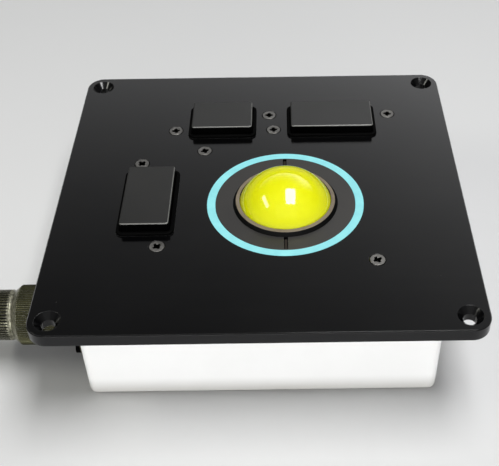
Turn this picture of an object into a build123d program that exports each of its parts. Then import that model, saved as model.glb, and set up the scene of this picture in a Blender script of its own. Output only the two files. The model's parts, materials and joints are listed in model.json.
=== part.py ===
from build123d import *
import os
from math import cos, sin, radians, sqrt, tan, hypot

# Sealed panel-mount trackball unit with three rectangular push buttons.
# Frame: origin at the centre of the four panel holes, on the faceplate's
# seating (under) face.  +Z points out of the panel, +X right, +Y away from
# the operator.  Millimetres.

os.makedirs("parts", exist_ok=True)

# ---------------------------------------------------------------- dimensions
PLATE_X, PLATE_Y, PLATE_T = 156.0, 154.0, 5.0
PLATE_CORNER_R, PLATE_BEVEL = 7.0, 0.35
PANEL_DX, PANEL_DY = 142.0, 140.0          # corner hole spacing
PANEL_HOLE_R, PANEL_CSK_R = 2.4, 4.6       # M4 countersunk clearance

BOX_X, BOX_Y = 129.5, 128.0                # enclosure, outside
BOX_WALL = 3.0
GASKET_T = 1.0
BOX_TOP, BOX_BOTTOM = -GASKET_T, -43.0
BOX_R = 3.0

BALL_X, BALL_Y, BALL_Z, BALL_R = 9.5, -10.3, -1.67, 19.05
BALL_GAP = 0.30                            # wiper to ball
MODULE_HOLE_R = 30.0                       # round hole in the faceplate
LIGHT_RI, LIGHT_RO = 26.9, 29.88           # light guide
RING_RI, RING_RO = 20.05, 26.78            # flush retaining ring
LIP_TOP_Z = PLATE_T + 1.55                 # wiper lip
EAR_OFF = 32.6                             # trackball module screws, diagonal

ROLLER_R, ROLLER_GAP = 3.0, 0.10
IDLER_R, IDLER_W = 5.0, 4.0
CONTACT_DEG = 30.0                         # contact below the equator
BEARING_RI, BEARING_RO, BEARING_W = 1.5, 4.0, 4.0
JOURNAL_R = 1.45
DISC_R, DISC_T, DISC_SLOTS = 8.0, 0.6, 20

CAP_W = 18.2                               # button cap, short side
CAP_LONG, CAP_SHORT = 34.0, 25.0
CAP_TOP_Z = PLATE_T + 4.6
RIM_TOP_Z = PLATE_T + 1.1
CAP_GAP = 0.35
TRAVEL = 1.5
BUTTONS = {                                # name: (x, y, turn, cap length)
    "left": (-42.7, -10.0, 90.0, CAP_LONG),
    "upper_left": (-16.4, 41.6, 0.0, CAP_SHORT),
    "upper_right": (29.35, 41.5, 0.0, CAP_LONG),
}
EAR_Y = 5.2

SCREW_R, SCREW_HEAD_R, CSK_R = 1.45, 2.8, 3.15   # M3 countersunk
SCREW_PROUD = 0.15
SCREW_TURN = (38, 48, 12, 0, 6, -10, 20, 30)     # recess angle of each head, degrees
POSTS = [(54.0, 56.5), (-54.0, 56.5), (-54.0, -56.5), (54.0, -56.5)]

CON_Y, CON_Z, CON_WALL_X = -42.6, -21.5, -BOX_X / 2   # connector axis
FLANGE, CON_BOLT = 22.4, 8.45

BOARD_C, BOARD_X, BOARD_Y = (8.0, 12.0), 80.0, 60.0
BOARD_Z0, BOARD_Z1 = -35.0, -33.4
ENC_Z0, ENC_Z1 = -28.0, -26.4


# ------------------------------------------------------------------- helpers
def cyl(r, z0, z1, x=0.0, y=0.0):
    return Pos(x, y, (z0 + z1) / 2) * Cylinder(r, z1 - z0)


def tube(ri, ro, z0, z1, x=0.0, y=0.0):
    return cyl(ro, z0, z1, x, y) - cyl(ri, z0 - 1, z1 + 1, x, y)


def cone(r0, r1, z0, z1, x=0.0, y=0.0):
    return Pos(x, y, (z0 + z1) / 2) * Cone(r0, r1, z1 - z0)


def box(x0, x1, y0, y1, z0, z1):
    return Pos((x0 + x1) / 2, (y0 + y1) / 2, (z0 + z1) / 2) * Box(x1 - x0, y1 - y0, z1 - z0)


def rbox(lx, ly, z0, z1, r, x=0.0, y=0.0):
    return Pos(x, y, z0) * extrude(RectangleRounded(lx, ly, r), z1 - z0)


def turned(points):
    """Solid of revolution about Z from (r, z) points."""
    return revolve(Plane.XZ * Polygon(*points, align=None), Axis.Z)


def hexagon(af, z0, z1, x=0.0, y=0.0):
    return Pos(x, y, z0) * extrude(RegularPolygon(af / 2, 6, major_radius=False), z1 - z0)


def ball_frame(shape):
    return Pos(BALL_X, BALL_Y, 0) * shape


def outward(shape):
    """Local +Z becomes -X, starting at the enclosure's left wall."""
    return Location(Plane(origin=(CON_WALL_X, CON_Y, CON_Z), x_dir=(0, 1, 0), z_dir=(-1, 0, 0))) * shape


def save(name, *solids):
    flat = []
    for s in solids:
        flat += list(s.solids())
    shape = flat[0] if len(flat) == 1 else Compound(children=flat)
    shape.label = name
    export_step(shape, f"parts/{name}.step")


def wire_bundle(points, r):
    """Round bundle along straight runs joined by tangent arcs."""
    pts = [Vector(*p) for p in points]
    radii = []
    for a, b, c in zip(pts, pts[1:], pts[2:]):
        u, w = b - a, c - b
        half = radians(u.get_angle(w)) / 2
        radii.append(0.45 * min(u.length, w.length) / tan(half))
    path = FilletPolyline(*pts, radius=radii)
    start = Plane(origin=path @ 0, z_dir=path % 0)
    print("bundle radii", [round(v, 1) for v in radii], "length", round(path.length, 1))
    return sweep(start * Circle(r), path=path)


def csk_screw(x, y, top, length, turn=0.0, rim=0.3, head_r=SCREW_HEAD_R, r=SCREW_R):
    """Countersunk screw with a cross recess; the head has a short straight rim."""
    under = top - rim - (head_r - r)
    s = cyl(r, top - length, under + 0.01) + cone(r, head_r, under, top - rim) + cyl(head_r, top - rim - 0.001, top)
    s = chamfer(s.faces().sort_by(Axis.Z)[-1].edges(), 0.12)
    for ang in (0, 90):
        s -= Pos(0, 0, top - 0.55) * Rot(0, 0, ang) * Box(3.2, 1.15, 1.5)
    s -= cone(0.6, 1.25, top - 1.6, top + 0.1)
    return Pos(x, y, 0) * Rot(0, 0, turn) * s


def pan_screw(x, y, seat, head_r, head_h, r, length, up=True):
    k = 1 if up else -1
    zs = sorted((seat, seat + k * head_h))
    zt = sorted((seat, seat - k * length))
    s = cyl(head_r, zs[0], zs[1], x, y) + cyl(r, zt[0], zt[1] + (0.01 if up else 0), x, y)
    for ang in (0, 90):
        s -= Pos(x, y, seat + k * head_h) * Rot(0, 0, ang) * Box(head_r * 1.1, 0.6, 1.2)
    return s


# --------------------------------------------------------- screw positions
def turned_xy(x, y, deg):
    a = radians(deg)
    return x * cos(a) - y * sin(a), x * sin(a) + y * cos(a)


def ear_x(length):
    return length / 2 + (7.35 if length > 30 else 7.05)


plate_screws = []
for cx, cy, turn, length in BUTTONS.values():
    for k in (-1, 1):
        dx, dy = turned_xy(k * ear_x(length), k * EAR_Y, turn)
        plate_screws.append((cx + dx, cy + dy))
module_screws = [(BALL_X - EAR_OFF, BALL_Y + EAR_OFF), (BALL_X + EAR_OFF, BALL_Y - EAR_OFF)]
plate_screws += module_screws

# ---------------------------------------------------------------- faceplate
plate = extrude(RectangleRounded(PLATE_X, PLATE_Y, PLATE_CORNER_R), PLATE_T)
plate = chamfer(plate.faces().sort_by(Axis.Z)[-1].edges(), PLATE_BEVEL)
plate = chamfer(plate.faces().sort_by(Axis.Z)[0].edges(), 0.2)
for sx in (-1, 1):
    for sy in (-1, 1):
        hx, hy = sx * PANEL_DX / 2, sy * PANEL_DY / 2
        d = PANEL_CSK_R - PANEL_HOLE_R
        plate -= cyl(PANEL_HOLE_R, -1, PLATE_T + 1, hx, hy)
        plate -= cone(PANEL_HOLE_R, PANEL_CSK_R + 0.2, PLATE_T - d, PLATE_T + 0.2, hx, hy)
plate -= cyl(MODULE_HOLE_R, -1, PLATE_T + 1, BALL_X, BALL_Y)
for cx, cy, turn, length in BUTTONS.values():
    plate -= Pos(cx, cy, 0) * Rot(0, 0, turn) * rbox(length + 3.4, CAP_W + 3.4, -1, PLATE_T + 1, 2.6)
for x, y in plate_screws:
    plate -= cyl(1.65, -1, PLATE_T + 1, x, y)
    plate -= cone(1.65, CSK_R + 0.2, PLATE_T - (CSK_R - 1.65), PLATE_T + 0.2, x, y)
for x, y in POSTS:
    plate -= cyl(2.5, -0.01, 2.0, x, y)
save("faceplate", plate)

save("module_screws", *[csk_screw(x, y, PLATE_T + SCREW_PROUD, 8.2, t) for (x, y), t in zip(plate_screws, SCREW_TURN)])

# ------------------------------------------------------ enclosure and gasket
gasket = rbox(BOX_X, BOX_Y, -GASKET_T, 0, BOX_R) - rbox(BOX_X - 2 * BOX_WALL, BOX_Y - 2 * BOX_WALL, -2, 1, 1.5)
save("enclosure_gasket", gasket)

shell = rbox(BOX_X, BOX_Y, BOX_BOTTOM, BOX_TOP, BOX_R)
shell = fillet(shell.faces().sort_by(Axis.Z)[0].edges(), 2.6)
shell -= rbox(BOX_X - 2 * BOX_WALL, BOX_Y - 2 * BOX_WALL, BOX_BOTTOM + BOX_WALL, 1, 1.5)
floor_z = BOX_BOTTOM + BOX_WALL
for x, y in POSTS:
    shell -= cyl(1.7, BOX_BOTTOM - 1, 0, x, y)
    shell -= cyl(3.0, BOX_BOTTOM - 1, BOX_BOTTOM + 0.62, x, y)
    shell -= cone(3.0, 1.7, BOX_BOTTOM + 0.6, BOX_BOTTOM + 1.9, x, y)
board_holes = [(BOARD_C[0] + sx * 35, BOARD_C[1] + sy * 25) for sx in (-1, 1) for sy in (-1, 1)]
for x, y in board_holes:
    shell += cyl(3.2, floor_z - 0.5, BOARD_Z0, x, y)
for x, y in board_holes:
    shell -= cyl(1.35, floor_z + 0.5, 0, x, y)
shell -= outward(cyl(8.6, -6, 1))
for sx in (-1, 1):
    for sy in (-1, 1):
        shell -= outward(cyl(1.65, -6, 1, sx * CON_BOLT, sy * CON_BOLT))
save("enclosure", shell)

save("enclosure_posts", *[
    hexagon(7.0, floor_z, 0, x, y) + cyl(2.45, -0.01, 1.9, x, y) - cyl(1.5, floor_z - 1, floor_z + 12, x, y)
    for x, y in POSTS])
save("enclosure_screws", *[
    Pos(x, y, BOX_BOTTOM + 0.3) * Rot(180, 0, 0) * csk_screw(0, 0, 0, 10.0, 25 + x) for x, y in POSTS])

# ---------------------------------------------------------- trackball module
off = BALL_R + ROLLER_R + ROLLER_GAP
RX = off * cos(radians(CONTACT_DEG))
RZ = BALL_Z - off * sin(radians(CONTACT_DEG))
ioff = BALL_R + IDLER_R + ROLLER_GAP
IX = ioff * cos(radians(CONTACT_DEG))
IZ = BALL_Z - ioff * sin(radians(CONTACT_DEG))

housing = cyl(34.0, -4, 0) + tube(23.1, 26.7, -4, 3.3) + cyl(25.5, -25, -3.9)
for k in (-1, 1):
    housing += cyl(4.6, -4, 0, k * EAR_OFF, -k * EAR_OFF)
    housing += Pos(k * 27.5, -k * 27.5, -2) * Rot(0, 0, -45) * Box(14.4, 9.2, 4)
for y0, y1 in ((-21.8, -17.8), (9.5, 13.5)):
    housing += box(RX - 5, RX + 5, y0, y1, RZ - 5.5, -3.9)
    housing += box(y0, y1, RX - 5, RX + 5, RZ - 5.5, -3.9)
housing -= cyl(23.15, -1.3, 4)
housing -= Pos(0, 0, BALL_Z) * Sphere(BALL_R + 0.5)
housing -= cyl(BALL_R + 0.55, BALL_Z, 4)
housing -= cyl(3.0, -26, -20)
housing -= tube(26.7, 31.2, -2.7, 1)
along_y = lambda s: Pos(RX, 0, RZ) * Rot(-90, 0, 0) * s          # local Z -> +Y
along_x = lambda s: Pos(0, RX, RZ) * Rot(0, 90, 0) * s           # local Z -> +X
for place in (along_y, along_x):
    housing -= place(cyl(ROLLER_R + 0.5, -17.9, 9.6))
    housing -= place(cyl(BEARING_RO, -17.8 - BEARING_W - 0.1, -17.8))
    housing -= place(cyl(BEARING_RO, 9.5, 9.5 + BEARING_W))
    housing -= place(cyl(2.0, 9.0, 14.6))
to_idler = lambda s: Rot(0, 0, 225) * s                          # local +X -> south-west
housing -= to_idler(box(13.0, 30.0, -IDLER_W / 2 - 0.4, IDLER_W / 2 + 0.4, IZ - IDLER_R - 0.6, IZ + IDLER_R + 0.6))
housing -= to_idler(Pos(IX, 0, IZ) * Rot(90, 0, 0) * Cylinder(1.5, 14))
for k in (-1, 1):
    housing -= cyl(1.5, -5, 1, k * EAR_OFF, -k * EAR_OFF)
enc_holes = [(21 * cos(radians(a)), 21 * sin(radians(a))) for a in (60, 180, 300)]
for x, y in enc_holes:
    housing += cyl(2.8, ENC_Z1, -24.9, x, y)
for x, y in enc_holes:
    housing -= cyl(1.25, -27, -20, x, y)
save("ball_housing", ball_frame(housing))

save("ball", ball_frame(Pos(0, 0, BALL_Z) * Sphere(BALL_R)))

light = tube(LIGHT_RI, LIGHT_RO, -0.01, PLATE_T) + tube(LIGHT_RI, 30.9, -0.7, 0)
save("light_ring", ball_frame(light))
save("led_board", ball_frame(tube(26.9, 31.0, -2.7, -1.7)))
save("ring_leds", *[
    ball_frame(Rot(0, 0, 30 * i) * box(28.2, 29.6, -1.1, 1.1, -1.7, -0.95)) for i in range(12)])

ring = turned([(RING_RI, 3.4), (20.5, 3.4), (20.5, -1.0), (23.0, -1.0), (23.0, 3.4), (RING_RO, 3.4),
               (RING_RO, PLATE_T - 0.1), (RING_RO - 0.1, PLATE_T), (RING_RI, PLATE_T)])
for k in (-1, 1):
    ring -= box(-0.75, 0.75, min(k * 19.5, k * 26.4), max(k * 19.5, k * 26.4), 3.9, 6)
save("retaining_ring", ball_frame(ring))

ball_clear = Pos(0, 0, BALL_Z) * Sphere(BALL_R + BALL_GAP)
carrier = turned([(19.45, 0.8), (20.4, 0.8), (20.4, 3.3), (20.0, 3.3), (20.0, 5.0), (19.05, 6.45),
                  (19.0, 6.45), (19.0, 3.5), (19.45, 3.5)])
save("seal_carrier", ball_frame(carrier))
wiper = turned([(16.5, 3.6), (18.97, 3.6), (18.97, LIP_TOP_Z - 0.15), (18.8, LIP_TOP_Z), (16.5, LIP_TOP_Z)])
save("wiper_seal", ball_frame(wiper - ball_clear))

# rollers, bearings, encoder discs, optical sensors
def roller_shaft():
    return cyl(ROLLER_R, -16, 8.5) + cyl(JOURNAL_R, -27.0, -15.9) + cyl(JOURNAL_R, 8.4, 13.9)


def encoder_disc():
    d = tube(JOURNAL_R, DISC_R, -24.8, -24.8 + DISC_T) + tube(JOURNAL_R, 3.0, -25.6, -24.2)
    for i in range(DISC_SLOTS):
        d -= Rot(0, 0, 360 / DISC_SLOTS * i) * box(5.4, 7.2, -0.55, 0.55, -26, -23)
    return d


def bearing_pair():
    out = []
    for z0 in (-17.8 - BEARING_W, 9.5):
        b = tube(BEARING_RI, BEARING_RO, z0, z0 + BEARING_W)
        b -= tube(2.3, 3.2, z0 - 1, z0 + 0.4) + tube(2.3, 3.2, z0 + BEARING_W - 0.4, z0 + BEARING_W + 1)
        out.append(b)
    return out


save("x_roller_shaft", ball_frame(along_y(roller_shaft())))
save("x_encoder_disc", ball_frame(along_y(encoder_disc())))
save("x_roller_bearings", *[ball_frame(along_y(b)) for b in bearing_pair()])
save("y_roller_shaft", ball_frame(along_x(roller_shaft())))
save("y_encoder_disc", ball_frame(along_x(encoder_disc())))
save("y_roller_bearings", *[ball_frame(along_x(b)) for b in bearing_pair()])

idler = tube(1.55, IDLER_R, -IDLER_W / 2, IDLER_W / 2)
idler_place = lambda s: ball_frame(to_idler(Pos(IX, 0, IZ) * Rot(90, 0, 0) * s))
save("idler_bearing", idler_place(idler))
save("idler_axle", idler_place(Cylinder(1.5, 12)))

sx_box = box(RX - 3, RX + 3, -27.4, -21.95, ENC_Z1, -17.2) - box(RX - 4, RX + 4, -25.6, -23.7, -22.0, -17)
sy_box = box(-27.4, -21.95, RX - 3, RX + 3, ENC_Z1, -17.2) - box(-25.6, -23.7, RX - 4, RX + 4, -22.0, -17)
save("optical_sensors", ball_frame(sx_box), ball_frame(sy_box))

enc_board = rbox(58, 58, ENC_Z0, ENC_Z1, 2.0)
for x, y in enc_holes:
    enc_board -= cyl(1.4, -30, -20, x, y)
save("encoder_board", ball_frame(enc_board))
save("encoder_board_screws", *[
    ball_frame(pan_screw(x, y, ENC_Z0, 2.2, 1.4, 1.2, 5.5, up=False)) for x, y in enc_holes])
save("interboard_connector", box(0.0, 19.0, -15.0, -10.0, BOARD_Z1, ENC_Z0))

# ------------------------------------------------------------ button modules
def spring(x, z0, z1, r=1.7, wire=0.22, turns=7):
    h = z1 - z0 - 2 * wire - 0.04
    helix = Helix(pitch=h / turns, height=h, radius=r)
    coil = sweep(Plane(origin=helix @ 0, z_dir=helix % 0) * Circle(wire), path=helix, is_frenet=True)
    return Pos(x, 0, z0 + wire + 0.02) * coil


for name, (cx, cy, turn, length) in BUTTONS.items():
    at = Pos(cx, cy, 0) * Rot(0, 0, turn)
    h = length / 2
    ex = ear_x(length)
    spring_x = 12.0 if length > 30 else 8.9

    frame = rbox(length + 3.2, CAP_W + 3.2, -14, RIM_TOP_Z, 2.5)
    frame = fillet(frame.faces().sort_by(Axis.Z)[-1].edges(), 0.35)
    frame += rbox(length + 6.2, CAP_W + 6.2, -3, 0, 3.0)
    for k in (-1, 1):
        frame += cyl(4.0, -4, 0, k * ex, k * EAR_Y)
        frame += box(min(k * h, k * ex), max(k * h, k * ex), k * EAR_Y - 4, k * EAR_Y + 4, -4, 0)
    frame -= rbox(length + 2 * CAP_GAP, CAP_W + 2 * CAP_GAP, -12, RIM_TOP_Z + 1, 1.2)
    for k in (-1, 1):
        frame -= box(min(k * h, k * (h + 1.6)), max(k * h, k * (h + 1.6)), -3.4, 3.4, -4.9, -1.1)
        frame -= cyl(1.5, -5, 1, k * ex, k * EAR_Y)
    frame -= rbox(11.5, 2.4, -15, -11, 0.5)
    save(f"{name}_button_frame", at * frame)

    cap = rbox(length, CAP_W, -3.0, CAP_TOP_Z, 1.0)
    cap = fillet(cap.faces().sort_by(Axis.Z)[-1].edges(), 0.5)
    cap -= rbox(length - 3.0, CAP_W - 3.0, -4, CAP_TOP_Z - 2.2, 0.8)
    cap += cyl(2.2, -3.6, CAP_TOP_Z - 2.0)
    for k in (-1, 1):
        cap += cyl(2.2, -1.0, CAP_TOP_Z - 2.0, k * spring_x, 0)
        cap += box(min(k * (h - 0.5), k * (h + 0.9)), max(k * (h - 0.5), k * (h + 0.9)), -3, 3, -2.8, -1.4)
    save(f"{name}_button_cap", at * cap)

    save(f"{name}_return_springs", *[at * spring(k * spring_x, -12, -1.0) for k in (-1, 1)])

    switch = box(-6.4, 6.4, -2.9, 2.9, -12, -5.5) - box(-1.0, 1.0, -0.7, 0.7, -8.8, -5)
    save(f"{name}_switch", at * switch)
    save(f"{name}_switch_plunger", at * box(-0.9, 0.9, -0.6, 0.6, -6.9, -3.9))

save("switch_terminals", *[
    Pos(cx, cy, 0) * Rot(0, 0, turn) * box(dx - 0.7, dx + 0.7, -0.25, 0.25, -17.5, -12)
    for cx, cy, turn, _ in BUTTONS.values() for dx in (-4.6, 0, 4.6)])

# ----------------------------------------------------------- controller board
board = rbox(BOARD_X, BOARD_Y, BOARD_Z0, BOARD_Z1, 2.0, *BOARD_C)
for x, y in board_holes:
    board -= cyl(1.6, -36, -33, x, y)
save("controller_board", board)
save("controller_screws", *[
    pan_screw(x, y, BOARD_Z1, 2.6, 1.8, 1.3, 4.8, up=True) for x, y in board_holes])
save("controller_chips",
     box(18, 28, 24, 34, BOARD_Z1, BOARD_Z1 + 1.6), box(0, 8, 24, 30, BOARD_Z1, BOARD_Z1 + 1.2),
     box(-18, -8, 24, 32, BOARD_Z1, BOARD_Z1 + 2.4), box(34, 40, 26, 34, BOARD_Z1, BOARD_Z1 + 1.0))
HEADERS = {"main": (-26.0, -6.0), "left": (-26.0, 10.0), "upper_left": (-16.4, 37.0), "upper_right": (29.35, 37.0)}
save("board_headers", *[box(x - 4, x + 4, y - 3, y + 3, BOARD_Z1, BOARD_Z1 + 5) for x, y in HEADERS.values()])
top = BOARD_Z1 + 5
leads = []
for name, (cx, cy, turn, _) in BUTTONS.items():
    hx, hy = HEADERS[name]
    z_mid = -23.0
    leads.append(wire_bundle([(cx, cy, -17.5), (cx, cy, z_mid + 1.2), (hx, hy, z_mid - 1.2), (hx, hy, top)], 1.1))
save("button_leads", *leads)
mx, my = HEADERS["main"]
save("connector_harness", wire_bundle([
    (CON_WALL_X + 15.5, CON_Y, CON_Z), (-36.0, CON_Y + 0.4, CON_Z), (-26.6, CON_Y + 12, CON_Z + 1.0),
    (mx - 0.3, my - 8.0, CON_Z + 1.2), (mx, my, CON_Z - 0.6), (mx, my, top)], 2.2))

# ------------------------------------------------------------------ connector
save("flange_gasket", outward(rbox(FLANGE, FLANGE, 0, 0.8, 3.0) - cyl(9.0, -1, 2) - cyl(1.65, -1, 2, CON_BOLT, CON_BOLT)
     - cyl(1.65, -1, 2, -CON_BOLT, CON_BOLT) - cyl(1.65, -1, 2, CON_BOLT, -CON_BOLT) - cyl(1.65, -1, 2, -CON_BOLT, -CON_BOLT)))
rec = rbox(FLANGE, FLANGE, 0.8, 3.0, 3.0) + cyl(9.2, 2.9, 19.2) + cyl(8.2, -12, 0.9)
rec -= cyl(7.5, -13, 21)
for sx in (-1, 1):
    for sy in (-1, 1):
        rec -= cyl(1.65, -1, 4, sx * CON_BOLT, sy * CON_BOLT)
save("receptacle_shell", outward(rec))
contacts_xy = [(0, 0), (2.2, 0), (-2.2, 0)] + [
    (4.6 * cos(radians(a)), 4.6 * sin(radians(a))) for a in range(20, 380, 51)][:7]
insert = cyl(7.45, -12, 11.0)
for x, y in contacts_xy:
    insert -= cyl(0.5, -13, 12, x, y)
save("contact_insert", outward(insert))
save("contacts", *[outward(cyl(0.48, -13.5, 12.6, x, y)) for x, y in contacts_xy])
save("flange_screws", *[outward(pan_screw(sx * CON_BOLT, sy * CON_BOLT, 3.0, 2.6, 1.8, 1.45, 10.0))
                        for sx in (-1, 1) for sy in (-1, 1)])
save("flange_nuts", *[outward(hexagon(5.5, -5.4, -3.0, sx * CON_BOLT, sy * CON_BOLT)
                              - cyl(1.5, -7, 0, sx * CON_BOLT, sy * CON_BOLT))
                      for sx in (-1, 1) for sy in (-1, 1)])

CAP_AT = lambda s: outward(Pos(0, 0, BOX_X / -2 + 64.0) * s)      # cap parts keep their reach from the centre
save("coupling_ring", CAP_AT(turned([
    (9.3, 6.4), (11.0, 6.4), (11.3, 6.7), (11.3, 25.7), (9.5, 27.5), (8.45, 27.5), (8.45, 24.2), (9.3, 24.2)])))
save("cap_core", CAP_AT(turned([
    (6.3, 14.5), (7.1, 14.5), (7.1, 20.8), (9.2, 20.8), (9.2, 24.0), (8.3, 24.0), (8.3, 27.8), (7.6, 27.8),
    (7.6, 33.0), (6.0, 33.0), (6.0, 22.5), (6.3, 22.5)])))
save("cap_seal", CAP_AT(tube(7.15, 9.1, 20.4, 20.8)))
save("cap_shell", CAP_AT(turned([
    (7.6, 27.8), (9.0, 27.8), (9.0, 31.0), (9.5, 31.6), (9.5, 43.2), (8.7, 44.0), (0, 44.0), (0, 41.5),
    (6.0, 41.5), (6.0, 33.0), (7.6, 33.0)])))
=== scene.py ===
import json
import math
import random
import bpy
import bmesh
from mathutils import Matrix, Vector


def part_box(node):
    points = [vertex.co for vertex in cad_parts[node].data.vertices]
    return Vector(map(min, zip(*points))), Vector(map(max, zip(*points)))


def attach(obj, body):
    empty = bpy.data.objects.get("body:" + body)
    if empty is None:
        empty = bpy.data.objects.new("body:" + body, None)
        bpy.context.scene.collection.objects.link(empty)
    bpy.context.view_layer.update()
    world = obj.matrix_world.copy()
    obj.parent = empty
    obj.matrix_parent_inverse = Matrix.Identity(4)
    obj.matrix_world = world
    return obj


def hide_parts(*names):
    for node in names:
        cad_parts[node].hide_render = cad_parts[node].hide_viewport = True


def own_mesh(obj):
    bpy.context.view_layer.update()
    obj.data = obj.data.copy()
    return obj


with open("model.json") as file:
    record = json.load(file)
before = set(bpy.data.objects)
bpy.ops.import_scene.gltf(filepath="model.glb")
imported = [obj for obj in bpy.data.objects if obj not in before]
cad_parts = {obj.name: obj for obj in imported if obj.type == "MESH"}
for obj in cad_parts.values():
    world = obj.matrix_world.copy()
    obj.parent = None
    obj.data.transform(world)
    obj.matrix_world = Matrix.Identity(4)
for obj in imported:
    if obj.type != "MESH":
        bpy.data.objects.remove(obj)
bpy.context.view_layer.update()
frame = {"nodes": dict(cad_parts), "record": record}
N = frame["nodes"]


MM = 0.001
lo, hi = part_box("ball")
BALL_C = (lo + hi) / 2
BALL_R = (hi.x - lo.x) / 2
lo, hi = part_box("faceplate")
TOP = hi.z
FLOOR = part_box("enclosure")[0].z

# ------------------------------------------------------------------ node kit
def new_mat(name):
    m = bpy.data.materials.new(name)
    m.use_nodes = True
    nt = m.node_tree
    nt.nodes.clear()
    out = nt.nodes.new("ShaderNodeOutputMaterial")
    bsdf = nt.nodes.new("ShaderNodeBsdfPrincipled")
    nt.links.new(bsdf.outputs[0], out.inputs[0])
    return m, nt, bsdf


def coords(nt, offset=(0, 0, 0), scale=(1, 1, 1), rot=(0, 0, 0)):
    tc = nt.nodes.new("ShaderNodeTexCoord")
    mp = nt.nodes.new("ShaderNodeMapping")
    mp.vector_type = "POINT"
    mp.inputs["Location"].default_value = [-o for o in offset]
    mp.inputs["Rotation"].default_value = rot
    mp.inputs["Scale"].default_value = scale
    nt.links.new(tc.outputs["Object"], mp.inputs["Vector"])
    return mp.outputs[0]


def noise(nt, vec, scale, detail=3.0, rough=0.5, distort=0.0):
    n = nt.nodes.new("ShaderNodeTexNoise")
    n.inputs["Scale"].default_value = scale
    n.inputs["Detail"].default_value = detail
    n.inputs["Roughness"].default_value = rough
    n.inputs["Distortion"].default_value = distort
    nt.links.new(vec, n.inputs["Vector"])
    return n.outputs["Fac"]


def remap(nt, fac, a, b, c, d, smooth=False):
    r = nt.nodes.new("ShaderNodeMapRange")
    r.interpolation_type = "SMOOTHSTEP" if smooth else "LINEAR"
    for i, v in zip((1, 2, 3, 4), (a, b, c, d)):
        r.inputs[i].default_value = v
    nt.links.new(fac, r.inputs[0])
    return r.outputs[0]


def mix(nt, fac, a, b):
    n = nt.nodes.new("ShaderNodeMix")
    n.data_type = "RGBA"
    if hasattr(fac, "is_linked"):
        nt.links.new(fac, n.inputs[0])
    else:
        n.inputs[0].default_value = fac
    for sock, v in ((n.inputs[6], a), (n.inputs[7], b)):
        if isinstance(v, (tuple, list)):
            sock.default_value = (*v, 1)
        else:
            nt.links.new(v, sock)
    return n.outputs[2]


def calc(nt, op, a, b=None, c=None):
    n = nt.nodes.new("ShaderNodeMath")
    n.operation = op
    for i, v in enumerate((a, b, c)):
        if v is None:
            continue
        if isinstance(v, (int, float)):
            n.inputs[i].default_value = v
        else:
            nt.links.new(v, n.inputs[i])
    return n.outputs[0]


def bump(nt, height, distance, strength=1.0, normal=None):
    b = nt.nodes.new("ShaderNodeBump")
    b.inputs["Strength"].default_value = strength
    b.inputs["Distance"].default_value = distance
    nt.links.new(height, b.inputs["Height"])
    if normal is not None:
        nt.links.new(normal, b.inputs["Normal"])
    return b.outputs[0]


def soft_edge(nt, radius):
    b = nt.nodes.new("ShaderNodeBevel")
    b.samples = 4
    b.inputs["Radius"].default_value = radius
    return b.outputs[0]


def edge_mask(nt, radius, lo_dot=0.97, hi_dot=0.80):
    """1 on sharp edges, 0 on flats: how far the rounded normal leaves the true one."""
    bv = soft_edge(nt, radius)
    geo = nt.nodes.new("ShaderNodeNewGeometry")
    dot = nt.nodes.new("ShaderNodeVectorMath")
    dot.operation = "DOT_PRODUCT"
    nt.links.new(bv, dot.inputs[0])
    nt.links.new(geo.outputs["Normal"], dot.inputs[1])
    return remap(nt, dot.outputs["Value"], lo_dot, hi_dot, 0.0, 1.0)


def specks(nt, vec, scale, size, keep):
    """Sparse round specks: fraction `keep` of the cells carry one."""
    v = nt.nodes.new("ShaderNodeTexVoronoi")
    v.feature = "F1"
    v.inputs["Scale"].default_value = scale
    nt.links.new(vec, v.inputs["Vector"])
    dot = remap(nt, v.outputs["Distance"], size, size * 0.5, 0.0, 1.0)
    sep = nt.nodes.new("ShaderNodeSeparateColor")
    nt.links.new(v.outputs["Color"], sep.inputs[0])
    pick = calc(nt, "GREATER_THAN", sep.outputs[0], 1.0 - keep)
    return calc(nt, "MULTIPLY", dot, pick)


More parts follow.
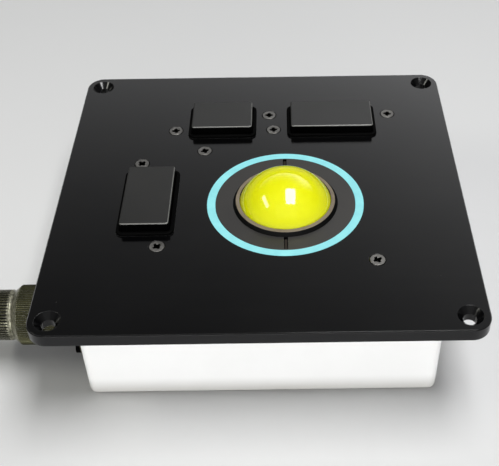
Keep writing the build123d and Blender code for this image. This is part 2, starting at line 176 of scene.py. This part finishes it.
def finish_mat(name, dark, light, rough, cloud=60.0, fine=2500.0, height=0.00001, metallic=0.0, spec=0.5,
               coat=0.0, coat_rough=0.1, edge=None, soft=None, dust=None, sub=0.0, offset=(0, 0, 0), turn=0.0,
               smear=0.0, sunk=None, side=None, wear=None, coat_ior=1.5, foot=None):
    """General procedural finish: two-tone mottling, roughness variation, fine surface bump, edge wear with a painted
    edge highlight, dust, plating wear bands with painted shade in the grip grooves, painted shade in recesses and
    towards the foot, painted light and shade by face orientation, and a painted highlight on rounded edges.
    """
    m, nt, b = new_mat(name)
    vec = coords(nt, offset)
    big = noise(nt, vec, cloud, 4.0, 0.55)
    col = mix(nt, remap(nt, big, 0.3, 0.7, 0.0, 1.0), dark, light)
    small = noise(nt, vec, fine, 2.0, 0.6)
    rr = calc(nt, "ADD", remap(nt, big, 0.3, 0.7, rough[0], rough[1]), remap(nt, small, 0.2, 0.8, -0.02, 0.02))
    if smear:
        streak = noise(nt, coords(nt, offset, (18, 260, 18), (0, 0, 0.5)), 1.0, 3.0, 0.6, 0.6)
        rr = calc(nt, "ADD", rr, remap(nt, streak, 0.45, 0.75, 0.0, smear))
    if edge:
        # edge wear colour; on the black plate and the buttons this edge colour is a painted edge highlight
        mask = edge_mask(nt, edge[0])
        edge_wear_and_highlight = calc(nt, "MULTIPLY", mask, remap(nt, noise(nt, vec, edge[2], 3.0, 0.6), 0.35, 0.6, edge[3], 1.0))
        col = mix(nt, edge_wear_and_highlight, col, edge[1])
    if dust:
        d = specks(nt, vec, dust[0], dust[1], dust[2])
        d2 = specks(nt, coords(nt, (0.011, 0.007, 0.003)), dust[0] * 2.7, dust[1], dust[2])
        d = calc(nt, "MAXIMUM", d, calc(nt, "MULTIPLY", d2, 0.6))
        col = mix(nt, calc(nt, "MULTIPLY", d, 0.75), col, dust[3])
        rr = calc(nt, "ADD", rr, calc(nt, "MULTIPLY", d, 0.4))
    level = None
    if wear:                                        # plating rubbed through in bands along the connector axis
        sx = nt.nodes.new("ShaderNodeSeparateXYZ")
        nt.links.new(coords(nt), sx.inputs[0])
        bare = None
        streaky = noise(nt, coords(nt, (0.02, 0.01, 0.0), (60, 700, 700)), 1.0, 3.0, 0.6)
        for centre, half, amount in wear:
            away = calc(nt, "ABSOLUTE", calc(nt, "SUBTRACT", sx.outputs[0], centre))
            band = remap(nt, away, half, half * 0.6, 0.0, amount, True)
            bare = band if bare is None else calc(nt, "MAXIMUM", bare, band)
        patch = remap(nt, noise(nt, coords(nt, (0.01, 0.02, 0.03)), 520.0, 4.0, 0.7), 0.36, 0.60, 0.15, 1.0)
        patch = calc(nt, "MULTIPLY", patch, remap(nt, streaky, 0.35, 0.60, 0.55, 1.0))
        col = mix(nt, calc(nt, "MULTIPLY", bare, patch), col, (0.42, 0.41, 0.32))
        off = nt.nodes.new("ShaderNodeCombineXYZ")  # painted shade in the grooves between the cap's grip ribs
        nt.links.new(calc(nt, "SUBTRACT", sx.outputs[1], GROOVE[0]), off.inputs[0])
        nt.links.new(calc(nt, "SUBTRACT", sx.outputs[2], GROOVE[1]), off.inputs[1])
        length = nt.nodes.new("ShaderNodeVectorMath")
        length.operation = "LENGTH"
        nt.links.new(off.outputs[0], length.inputs[0])
        groove_shade = calc(nt, "MULTIPLY", remap(nt, length.outputs["Value"], GROOVE[2], GROOVE[2] - 0.0002, 0.0, 1.0),
                    remap(nt, sx.outputs[0], GROOVE[3], GROOVE[3] - 0.0006, 0.0, 1.0))
        col = mix(nt, groove_shade, col, (0.003, 0.003, 0.002))
    if sunk:                                        # painted shade: recesses below the head or face are darkened and lose most of their specular
        sz = nt.nodes.new("ShaderNodeSeparateXYZ")
        nt.links.new(coords(nt), sz.inputs[0])
        recess_shade = remap(nt, sz.outputs[2], sunk[0], sunk[0] - 0.00008, 0.0, 1.0)
        col = mix(nt, recess_shade, col, sunk[1])
        level = remap(nt, recess_shade, 0.0, 1.0, spec, spec * 0.1)
        rr = calc(nt, "ADD", rr, calc(nt, "MULTIPLY", recess_shade, 0.3))
        if len(sunk) > 2:                           # painted highlight along the slot floor's centre line; near the walls the painted shade stays
            col = mix(nt, calc(nt, "MULTIPLY", remap(nt, sz.outputs[2], sunk[0] - 0.00072, sunk[0] - 0.00080, 0.0, 1.0),
                remap(nt, calc(nt, "ABSOLUTE", calc(nt, "SUBTRACT", sz.outputs[0], BC[0])), 0.00050, 0.00030, 0.0, 1.0)), col, sunk[2])
    if foot:                                        # painted shade: darker towards the base
        fz = nt.nodes.new("ShaderNodeSeparateXYZ")
        nt.links.new(coords(nt), fz.inputs[0])
        low = remap(nt, fz.outputs[2], foot[1], foot[0], 0.0, 0.85, True)
        low = calc(nt, "MULTIPLY", low, remap(nt, big, 0.3, 0.7, 0.8, 1.0))
        col = mix(nt, low, col, foot[2])
    if side:                                        # painted light and shade by face orientation: the flanks get their own painted colour and a lower specular level than the top face
        tn = nt.nodes.new("ShaderNodeTexCoord")
        nz = nt.nodes.new("ShaderNodeSeparateXYZ")
        nt.links.new(tn.outputs["Normal"], nz.inputs[0])
        painted_flank_tone = remap(nt, nz.outputs[2], 0.35, 0.10, 0.0, 1.0)
        if len(side) > 2:                           # painted highlight on the rounded edges, strongest on those facing front and right
            painted_edge_highlight = calc(nt, "MULTIPLY", remap(nt, nz.outputs[2], 0.985, 0.90, 0.0, 1.0), remap(nt, nz.outputs[2], 0.30, 0.60, 0.0, 1.0))
            facing = calc(nt, "SUBTRACT", calc(nt, "MULTIPLY", nz.outputs[0], 0.6), nz.outputs[1])
            painted_edge_highlight = calc(nt, "MULTIPLY", painted_edge_highlight, remap(nt, facing, 0.05, 0.35, 0.12, 1.0))
            col = mix(nt, painted_edge_highlight, col, side[2])
        col = mix(nt, painted_flank_tone, col, side[0])
        level = remap(nt, painted_flank_tone, 0.0, 1.0, spec, side[1])
    nt.links.new(col, b.inputs["Base Color"])
    nt.links.new(rr, b.inputs["Roughness"])
    h = small
    if turn:
        rings = nt.nodes.new("ShaderNodeTexWave")
        rings.wave_type = "RINGS"
        rings.rings_direction = "Z"
        rings.inputs["Scale"].default_value = turn
        rings.inputs["Distortion"].default_value = 0.6
        rings.inputs["Detail"].default_value = 2.0
        nt.links.new(vec, rings.inputs["Vector"])
        h = calc(nt, "ADD", calc(nt, "MULTIPLY", small, 0.6), calc(nt, "MULTIPLY", rings.outputs["Fac"], 0.5))
    nrm = bump(nt, h, height, 1.0, soft_edge(nt, soft) if soft else None)
    nt.links.new(nrm, b.inputs["Normal"])
    b.inputs["Metallic"].default_value = metallic
    b.inputs["Specular IOR Level"].default_value = spec
    if level is not None:
        # painted shade: the base colour darkens with the lowered specular level in recesses and on flanks
        col_in = b.inputs["Base Color"].links[0].from_socket
        nt.links.new(mix(nt, remap(nt, level, 0.0, max(spec, 0.01), 0.35, 1.0), (0.0, 0.0, 0.0), col_in), b.inputs["Base Color"])
        nt.links.new(calc(nt, "MULTIPLY", level, 1.0), b.inputs["Specular IOR Level"])
    b.inputs["Coat Weight"].default_value = coat
    b.inputs["Coat Roughness"].default_value = coat_rough
    b.inputs["Coat IOR"].default_value = coat_ior
    if sub:
        b.inputs["Subsurface Weight"].default_value = sub
        b.inputs["Subsurface Radius"].default_value = (0.010, 0.009, 0.002)
        b.inputs["Subsurface Scale"].default_value = 1.0
    return m


BC = tuple(BALL_C)
# plating worn along the connector: the cap's smooth neck and the coupling ring's outer shoulder
WEAR = ((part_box("cap_shell")[1].x - 0.3 * MM, 1.9 * MM, 0.95), (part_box("coupling_ring")[0].x + 0.5 * MM, 1.7 * MM, 0.9))
# cap axis, groove radius and groove end for the painted shade between the grip ribs
GROOVE = ((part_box("cap_shell")[0].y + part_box("cap_shell")[1].y) / 2, (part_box("cap_shell")[0].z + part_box("cap_shell")[1].z) / 2,
          9.42 * MM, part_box("cap_shell")[1].x - 1.3 * MM)
MAT = {}
# black plate: the edge colour is a painted edge highlight, and side= gives the vertical faces a painted tone and lower
# specular
MAT["plate_anodised"] = finish_mat("black_anodised_plate", (0.0009, 0.0009, 0.0011), (0.0016, 0.0016, 0.0017), (0.11, 0.14),
    cloud=25, fine=5200, height=0.000002, spec=0.5, edge=(0.00030, (0.06, 0.06, 0.06), 700, 0.5), soft=0.0001,
    dust=(120, 0.030, 0.07, (0.30, 0.29, 0.27)), smear=0.03, side=((0.0034, 0.0034, 0.0042), 0.26))
# sunk= paints shade into the tool slots, with a painted highlight along the slot floor
MAT["ring_anodised"] = finish_mat("turned_black_ring", (0.016, 0.015, 0.014), (0.022, 0.020, 0.018), (0.36, 0.42),
    cloud=60, fine=5200, height=0.000008, spec=0.66, edge=(0.0003, (0.05, 0.05, 0.05), 900, 0.5), soft=0.0001,
    offset=BC, turn=900, sunk=(TOP - 0.00025, (0.0005, 0.0005, 0.0005), (0.085, 0.072, 0.058)))
# sunk= paints shade into the screw recesses
MAT["screw_black"] = finish_mat("blackened_screw", (0.19, 0.186, 0.176), (0.27, 0.262, 0.25), (0.36, 0.48),
    cloud=900, fine=6000, height=0.000010, metallic=1.0, edge=(0.0002, (0.34, 0.33, 0.31), 1500, 0.2), soft=0.00008,
    sunk=(TOP - 0.0002, (0.002, 0.002, 0.002)))
MAT["seal_rubber"] = finish_mat("moulded_rubber", (0.0008, 0.0008, 0.0008), (0.0016, 0.0016, 0.0015), (0.55, 0.70),
    cloud=120, fine=4000, height=0.00002, spec=0.10)
MAT["wiper_grey"] = finish_mat("wiper_polymer", (0.145, 0.116, 0.082), (0.19, 0.157, 0.113), (0.42, 0.55),
    cloud=300, fine=4500, height=0.00001, spec=0.4, soft=0.00012, offset=BC, turn=700)
MAT["module_black"] = finish_mat("glass_filled_black", (0.0010, 0.0010, 0.0010), (0.0018, 0.0018, 0.0018), (0.42, 0.55),
    cloud=90, fine=3800, height=0.000015, spec=0.02, edge=(0.0003, (0.002, 0.002, 0.002), 900, 0.4), soft=0.0001)
# buttons: the edge colour and side[2] are painted edge highlights, side[0] is the painted shade on the flanks
MAT["button_black"] = finish_mat("satin_button", (0.0050, 0.0050, 0.0043), (0.0080, 0.0080, 0.0072), (0.30, 0.36),
    cloud=55, fine=4200, height=0.000012, spec=0.66, edge=(0.00035, (0.17, 0.165, 0.15), 600, 0.5), soft=0.00015,
    dust=(170, 0.030, 0.05, (0.22, 0.22, 0.21)), side=((0.0006, 0.0006, 0.0006), 0.06, (0.15, 0.15, 0.14)))
# foot= paints shade towards the base of the box
MAT["enclosure_white"] = finish_mat("white_moulding", (0.87, 0.87, 0.86), (0.91, 0.91, 0.90), (0.38, 0.48),
    cloud=18, fine=2600, height=0.00002, spec=0.4, edge=(0.0006, (0.90, 0.90, 0.89), 400, 0.6), soft=0.0003,
    dust=(90, 0.03, 0.05, (0.60, 0.59, 0.56)), foot=(FLOOR + 0.001, FLOOR + 0.010, (0.42, 0.41, 0.38)))
# wear= also paints shade into the grooves between the cap's grip ribs
MAT["connector_olive"] = finish_mat("olive_plating", (0.022, 0.022, 0.008), (0.044, 0.043, 0.015), (0.30, 0.44),
    cloud=260, fine=3500, height=0.00001, metallic=0.75, spec=0.5,
    edge=(0.0003, (0.42, 0.41, 0.36), 1400, 0.05), soft=0.00006, wear=WEAR)
MAT["steel"] = finish_mat("zinc_steel", (0.42, 0.42, 0.42), (0.62, 0.62, 0.61), (0.24, 0.36),
    cloud=400, fine=5000, height=0.000006, metallic=1.0, edge=(0.0003, (0.8, 0.8, 0.8), 900, 0.2))
MAT["spring_steel"] = finish_mat("spring_wire", (0.38, 0.38, 0.39), (0.6, 0.6, 0.6), (0.2, 0.32),
    cloud=500, fine=6000, height=0.000004, metallic=1.0)
MAT["circuit_board"] = finish_mat("solder_mask", (0.008, 0.075, 0.028), (0.014, 0.12, 0.045), (0.22, 0.34),
    cloud=300, fine=2200, height=0.000015, coat=0.3, edge=(0.0004, (0.45, 0.38, 0.2), 900, 0.2))
MAT["chip_black"] = finish_mat("moulded_epoxy", (0.010, 0.010, 0.011), (0.022, 0.022, 0.022), (0.45, 0.6),
    cloud=600, fine=5200, height=0.000015)
MAT["disc_black"] = finish_mat("etched_disc", (0.012, 0.012, 0.014), (0.03, 0.03, 0.032), (0.25, 0.4),
    cloud=500, fine=5200, height=0.000005)
MAT["contact_metal"] = finish_mat("gold_contact", (0.62, 0.42, 0.12), (0.85, 0.62, 0.25), (0.2, 0.32),
    cloud=800, fine=6000, height=0.000004, metallic=1.0)
MAT["header_white"] = finish_mat("natural_nylon", (0.60, 0.58, 0.50), (0.74, 0.72, 0.64), (0.4, 0.5),
    cloud=300, fine=3500, height=0.00001, spec=0.4)
MAT["insert_grey"] = finish_mat("grey_insert", (0.09, 0.09, 0.09), (0.13, 0.13, 0.13), (0.5, 0.62),
    cloud=300, fine=3500, height=0.00001)
MAT["wire_black"] = finish_mat("sleeved_wire", (0.010, 0.010, 0.010), (0.03, 0.03, 0.03), (0.5, 0.65),
    cloud=900, fine=2500, height=0.00005)
MAT["plunger_red"] = finish_mat("acetal_plunger", (0.40, 0.03, 0.02), (0.55, 0.05, 0.03), (0.3, 0.4),
    cloud=500, fine=4000, height=0.000005)
MAT["led_white"] = finish_mat("lamp_lens", (0.70, 0.80, 0.72), (0.85, 0.92, 0.86), (0.2, 0.3),
    cloud=900, fine=5000, height=0.000005, coat=0.4)
MAT["ball_yellow"] = finish_mat("polished_ball", (0.652, 0.665, 0.004), (0.685, 0.692, 0.006), (0.22, 0.28),
    cloud=45, fine=1800, height=0.000001, spec=0.05, coat=0.8, coat_rough=0.025, coat_ior=1.75, offset=BC, sub=0.6,
    dust=(110, 0.02, 0.03, (0.9, 0.9, 0.5)))

# lit ring: the light guide glows evenly, a little brighter over each lamp
m, nt, b = new_mat("lit_guide")
vec = coords(nt, BC)
sep = nt.nodes.new("ShaderNodeSeparateXYZ")
nt.links.new(vec, sep.inputs[0])
ang = calc(nt, "ARCTAN2", sep.outputs[1], sep.outputs[0])
lamps = calc(nt, "COSINE", calc(nt, "MULTIPLY", ang, 12.0))
soft_n = noise(nt, vec, 220.0, 3.0, 0.6)
glow = calc(nt, "ADD", remap(nt, lamps, -1, 1, 0.97, 1.01), remap(nt, soft_n, 0.3, 0.7, -0.03, 0.03))
col = mix(nt, remap(nt, soft_n, 0.35, 0.65, 0.0, 1.0), (0.30, 0.90, 0.98), (0.34, 0.96, 1.00))
nt.links.new(col, b.inputs["Emission Color"])
nt.links.new(calc(nt, "MULTIPLY", glow, 0.77), b.inputs["Emission Strength"])
b.inputs["Base Color"].default_value = (0.10, 0.20, 0.19, 1)
nt.links.new(mix(nt, soft_n, (0.03, 0.06, 0.06), (0.04, 0.08, 0.08)), b.inputs["Base Color"])
nt.links.new(remap(nt, soft_n, 0.3, 0.7, 0.42, 0.55), b.inputs["Roughness"])
nt.links.new(bump(nt, noise(nt, vec, 3200, 2.0), 0.00001), b.inputs["Normal"])
MAT["light_guide"] = m

record = frame["record"]
slot_of = {s["node"]: s["material_slot"] for s in record["subparts"]}
for name, o in N.items():
    for i in range(max(1, len(o.material_slots))):
        if o.material_slots:
            o.material_slots[i].material = MAT[slot_of[name]]


# --------------------------------------------------------------- mesh pieces
def link(name, bm, body, slot, replaces=(), smooth=True):
    me = bpy.data.meshes.new(name)
    bmesh.ops.recalc_face_normals(bm, faces=bm.faces)
    bm.to_mesh(me)
    bm.free()
    o = bpy.data.objects.new(name, me)
    bpy.context.scene.collection.objects.link(o)
    me.materials.append(MAT[slot])
    if smooth:
        for p in me.polygons:
            p.use_smooth = True
        me.set_sharp_from_angle(angle=math.radians(38))
    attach(o, body)
    if replaces:
        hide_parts(*replaces)
    return o


def swept_ring(name, rows, count, place, body, slot, replaces, closed=True):
    """Closed ring of quads: rows is a list of functions angle -> (radius, axial); place maps (x, y, z) to the frame."""
    bm = bmesh.new()
    loops = []
    for row in rows:
        loop = []
        for i in range(count):
            a = 2 * math.pi * i / count
            r, s = row(a)
            loop.append(bm.verts.new(place(r * math.cos(a), r * math.sin(a), s)))
        loops.append(loop)
    n = len(loops)
    for j in range(n if closed else n - 1):
        p, q = loops[j], loops[(j + 1) % n]
        for i in range(count):
            k = (i + 1) % count
            bm.faces.new((p[i], p[k], q[k], q[i]))
    if not closed:
        for loop, rev in ((loops[0], True), (loops[-1], False)):
            bm.faces.new(list(reversed(loop)) if rev else loop)
    return link(name, bm, body, slot, replaces)


# ball: even high-resolution sphere
bm = bmesh.new()
bmesh.ops.create_uvsphere(bm, u_segments=160, v_segments=96, radius=BALL_R)
bmesh.ops.translate(bm, verts=bm.verts, vec=BALL_C)
link("ball_polished", bm, "ball", "ball_yellow", ("ball",))

# return springs: copies of the CAD coils with their own meshes, attached to the unit body
bpy.context.view_layer.update()
for b_name in ("left", "upper_left", "upper_right"):
    src = N[b_name + "_return_springs"]
    o = bpy.data.objects.new(b_name + "_springs_coiled", src.data.copy())
    bpy.context.scene.collection.objects.link(o)
    o.matrix_world = src.matrix_world.copy()
    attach(o, "unit")
    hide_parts(b_name + "_return_springs")
    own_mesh(o)

# connector axis, from the coupling ring's own box
clo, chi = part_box("coupling_ring")
CY, CZ = (clo.y + chi.y) / 2, (clo.z + chi.z) / 2
C_IN, C_OUT = chi.x, clo.x                       # nearest the wall, farthest from it
place_x = lambda x, y, s: Vector((s, CY + x, CZ + y))
R_RING = (chi.y - clo.y) / 2


def knurl(a, count, depth, sharp=1.0):
    """Fine straight knurl: raised rounded ribs with narrow grooves."""
    t = 0.5 + 0.5 * math.cos(a * count)
    return -depth * (1.0 - t ** sharp)


RIBS = 84
def ring_row(s, r, w=0.0):
    return lambda a: (r + w * knurl(a, RIBS, 0.32 * MM, 0.6), s)


rows = [ring_row(C_IN, 9.35 * MM), ring_row(C_IN, R_RING - 0.6 * MM), ring_row(C_IN - 0.12 * MM, R_RING - 0.38 * MM, 0.0)]
k0, k1 = C_IN - 1.2 * MM, C_OUT + 2.0 * MM
rows += [ring_row(C_IN - 0.4 * MM, R_RING - 0.08 * MM), ring_row(k0, R_RING, 0.0), ring_row(k0 - 0.25 * MM, R_RING, 0.8)]
for i in range(5):
    s = k0 - 0.6 * MM + (k1 + 0.35 * MM - k0 + 0.6 * MM) * i / 4
    rows.append(ring_row(s, R_RING, 1.0))
rows += [ring_row(k1 + 0.12 * MM, R_RING, 0.9), ring_row(k1 - 0.02 * MM, R_RING - 0.04 * MM, 0.35),
         ring_row(k1 - 0.25 * MM, R_RING - 0.22 * MM, 0.0), ring_row(C_OUT + 0.22 * MM, 9.78 * MM),
         ring_row(C_OUT + 0.06 * MM, 9.55 * MM), ring_row(C_OUT, 9.3 * MM), ring_row(C_OUT, 8.55 * MM),
         ring_row(C_OUT + 0.1 * MM, 8.45 * MM), ring_row(C_OUT + 3.3 * MM, 8.45 * MM), ring_row(C_OUT + 3.3 * MM, 9.35 * MM)]
swept_ring("coupling_ring_knurled", rows, RIBS * 8, place_x, "coupling_ring", "connector_olive", ("coupling_ring",))

slo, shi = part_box("cap_shell")
S_IN, S_OUT = shi.x, slo.x
TEETH = 50
def tooth_row(s, r, w):
    def f(a):
        t = abs(math.cos(a * TEETH / 2))            # 1 on the rib, 0 in the groove
        t = min(1.0, max(0.0, (t - 0.42) / 0.30))
        g = 1.0 - t * t * (3 - 2 * t)
        return (r - w * 0.62 * MM * g, s)
    return f


neck, tip = 9.0 * MM, 9.5 * MM
g0, g1 = S_IN - 1.25 * MM, S_OUT + 1.7 * MM       # grooves run between these
rows = [tooth_row(S_IN - 0.02 * MM, 7.62 * MM, 0), tooth_row(S_IN, 7.8 * MM, 0), tooth_row(S_IN, neck - 0.12 * MM, 0),
        tooth_row(S_IN - 0.12 * MM, neck, 0), tooth_row(S_IN - 0.55 * MM, neck, 0), tooth_row(S_IN - 0.8 * MM, neck + 0.06 * MM, 0),
        tooth_row(S_IN - 1.2 * MM, tip - 0.07 * MM, 0)]
for i in range(1, 8):                              # rounded groove ends
    u = i / 7
    rows.append(tooth_row(g0 - 1.1 * MM * u, tip, math.sqrt(1 - (1 - u) ** 2)))
for i in range(1, 4):
    rows.append(tooth_row(g0 - 1.1 * MM + (g1 + 0.6 * MM - g0 + 1.1 * MM) * i / 4, tip, 1.0))
for i in range(0, 7):
    u = 1 - i / 6
    rows.append(tooth_row(g1 + 0.6 * MM * u, tip, math.sqrt(max(0.0, 1 - (1 - u) ** 2))))
rows += [tooth_row(S_OUT + 1.2 * MM, tip, 0), tooth_row(S_OUT + 0.85 * MM, tip - 0.06 * MM, 0),
         tooth_row(S_OUT + 0.35 * MM, tip - 0.4 * MM, 0), tooth_row(S_OUT + 0.06 * MM, 8.75 * MM, 0),
         tooth_row(S_OUT, 8.4 * MM, 0), tooth_row(S_OUT, 6.2 * MM, 0), tooth_row(S_OUT + 0.25 * MM, 5.9 * MM, 0),
         tooth_row(S_OUT + 0.25 * MM, 1.6 * MM, 0), tooth_row(S_OUT + 0.25 * MM, 0.4 * MM, 0)]
swept_ring("cap_shell_ribbed", rows, TEETH * 12, place_x, "connector_cap", "connector_olive", ("cap_shell",), closed=False)

# ------------------------------------------------------------------- stage
bm = bmesh.new()
bmesh.ops.create_grid(bm, x_segments=8, y_segments=8, size=9.0)
bmesh.ops.translate(bm, verts=bm.verts, vec=(0, 0, FLOOR - 0.00002))
me = bpy.data.meshes.new("floor")
bm.to_mesh(me); bm.free()
floor = bpy.data.objects.new("floor", me)
bpy.context.scene.collection.objects.link(floor)
m, nt, b = new_mat("floor_paper")
fv = coords(nt)
nt.links.new(mix(nt, noise(nt, fv, 3.0, 3.0), (0.60, 0.605, 0.61), (0.64, 0.64, 0.64)), b.inputs["Base Color"])
b.inputs["Roughness"].default_value = 0.85
b.inputs["Specular IOR Level"].default_value = 0.15
me.materials.append(m)

# ------------------------------------------------------------------- camera
F_PX, W_PX = 916.49, 499.0
el, az, roll = math.radians(42.397), math.radians(0.0821), math.radians(-0.8652)
back = Vector((math.sin(az) * math.cos(el), -math.cos(az) * math.cos(el), math.sin(el)))
right = (-back).cross(Vector((0, 0, 1))).normalized()
up = right.cross(-back)
cx = math.cos(roll) * right + math.sin(roll) * up
cy = -math.sin(roll) * right + math.cos(roll) * up
rot = Matrix((cx, cy, back)).transposed()
CAM = Vector((0.056946, -1.776423, 1.462764)) * 0.156 + Vector((0, 0, TOP))
cam_data = bpy.data.cameras.new("camera")
cam_data.sensor_width = 36.0
cam_data.lens = F_PX / W_PX * 36.0
cam_data.shift_x = -(283.18 - 249.5) / W_PX
cam_data.shift_y = (231.39 - 233.0) / W_PX
cam_data.clip_start = 0.01
cam = bpy.data.objects.new("camera", cam_data)
cam.matrix_world = Matrix.Translation(CAM) @ rot.to_4x4()
bpy.context.scene.collection.objects.link(cam)
bpy.context.scene.camera = cam


def pixel_dir(px, py):
    return (-back * F_PX + cx * (px - 283.18) - cy * (py - 231.39)).normalized()


def ball_mirror(px, py):
    """Point on the ball under that image point, and the direction it mirrors."""
    d = pixel_dir(px, py)
    oc = CAM - BALL_C
    t = -d.dot(oc) - math.sqrt(d.dot(oc) ** 2 - oc.dot(oc) + BALL_R ** 2)
    p = CAM + d * t
    n = (p - BALL_C).normalized()
    return p, d - 2 * d.dot(n) * n


# ------------------------------------------------------------------- lights
def area(name, loc, target, sx, sy, watts, color=(1, 1, 1), spread=180):
    l = bpy.data.lights.new(name, "AREA")
    l.shape = "RECTANGLE"
    l.size, l.size_y = sx, sy
    l.energy = watts
    l.color = color
    l.spread = math.radians(spread)
    o = bpy.data.objects.new(name, l)
    o.location = loc
    o.rotation_euler = (Vector(target) - Vector(loc)).to_track_quat("-Z", "Y").to_euler()
    bpy.context.scene.collection.objects.link(o)
    return o


def quad_light(name, corners, radiance, color=(1, 1, 1)):
    """Area light filling the four mirrored image points (TL, TR, BR, BL) on the ball, 0.9 m away."""
    pts = []
    for px, py in corners:
        p, d = ball_mirror(px, py)
        pts.append(p + d * 0.9)
    c = sum(pts, Vector()) / 4
    ux = ((pts[1] + pts[2]) - (pts[0] + pts[3])) / 2
    uy = ((pts[0] + pts[1]) - (pts[3] + pts[2])) / 2
    sx, sy = ux.length, uy.length
    z = (c - BALL_C).normalized()                  # light shines along -z
    if sx > sy:
        y = z.cross(ux).normalized()
        x = y.cross(z).normalized()
    else:                                          # keep the long axis true
        x = uy.cross(z).normalized()
        y = z.cross(x).normalized()
    l = bpy.data.lights.new(name, "AREA")
    l.shape = "RECTANGLE"
    l.size, l.size_y = sx, sy
    l.energy = radiance * math.pi * sx * sy
    l.color = color
    o = bpy.data.objects.new(name, l)
    o.matrix_world = Matrix.Translation(c) @ Matrix((x, y, z)).transposed().to_4x4()
    bpy.context.scene.collection.objects.link(o)
    print("light", name, [round(v, 3) for v in c], round(sx, 3), round(sy, 3))
    return o


quad_light("window", [(285.4, 188.8), (295.3, 188.8), (295.0, 204.2), (285.8, 204.2)], 13.0)
quad_light("lamp", [(261.8, 196.6), (264.8, 196.0), (269.6, 206.6), (266.4, 207.4)], 8.0, (1.0, 1.0, 0.9))
# broad soft key over the camera's shoulders, which the plate doesn't mirror
area("key", (0.05, -1.25, 1.45), (0, 0, 0), 1.7, 1.1, 0.7)
area("front_low", (0.0, -1.4, 0.075), (0, 0, 0.0), 2.0, 0.22, 6.3, spread=110)

# studio world: a lit cove behind the bench, brightest low on the right, that the plate and buttons mirror,
# and a dim surround that is a little stronger at the front
world = bpy.data.worlds.new("studio")
bpy.context.scene.world = world
world.use_nodes = True
wn = world.node_tree
bg = wn.nodes["Background"]
tc = wn.nodes.new("ShaderNodeTexCoord")
sep = wn.nodes.new("ShaderNodeSeparateXYZ")
wn.links.new(tc.outputs["Generated"], sep.inputs[0])
elev = calc(wn, "MULTIPLY", calc(wn, "ARCSINE", sep.outputs[2]), 180 / math.pi)
azim = calc(wn, "MULTIPLY", calc(wn, "ARCTAN2", sep.outputs[0], sep.outputs[1]), 180 / math.pi)
expo = calc(wn, "ADD", calc(wn, "MULTIPLY", calc(wn, "SUBTRACT", azim, 11.0), 0.032),
            calc(wn, "MULTIPLY", calc(wn, "SUBTRACT", elev, 30.0), -0.112))
cove = calc(wn, "MULTIPLY", calc(wn, "EXPONENT", calc(wn, "MINIMUM", expo, 0.05)), 1.90)
cove = calc(wn, "MULTIPLY", cove, remap(wn, elev, 23.5, 28.5, 0.0, 1.0, True))
cove = calc(wn, "MULTIPLY", cove, remap(wn, calc(wn, "ABSOLUTE", azim), 65.0, 30.0, 0.0, 1.0, True))
dp = wn.nodes.new("ShaderNodeVectorMath")
dp.operation = "DOT_PRODUCT"
dp.inputs[1].default_value = (0.0, -0.92, 0.30)
wn.links.new(tc.outputs["Generated"], dp.inputs[0])
surround = remap(wn, dp.outputs["Value"], -0.30, 0.85, 0.015, 0.22, True)
haze = remap(wn, elev, 20.0, 6.0, 0.0, 0.13, True)
wn.links.new(calc(wn, "ADD", calc(wn, "ADD", cove, surround), haze), bg.inputs["Strength"])
bg.inputs["Color"].default_value = (0.985, 0.99, 1.0, 1)

sc = bpy.context.scene
sc.view_settings.view_transform = "Standard"
sc.view_settings.look = "None"
sc.view_settings.exposure = 0.0
sc.cycles.use_denoising = True
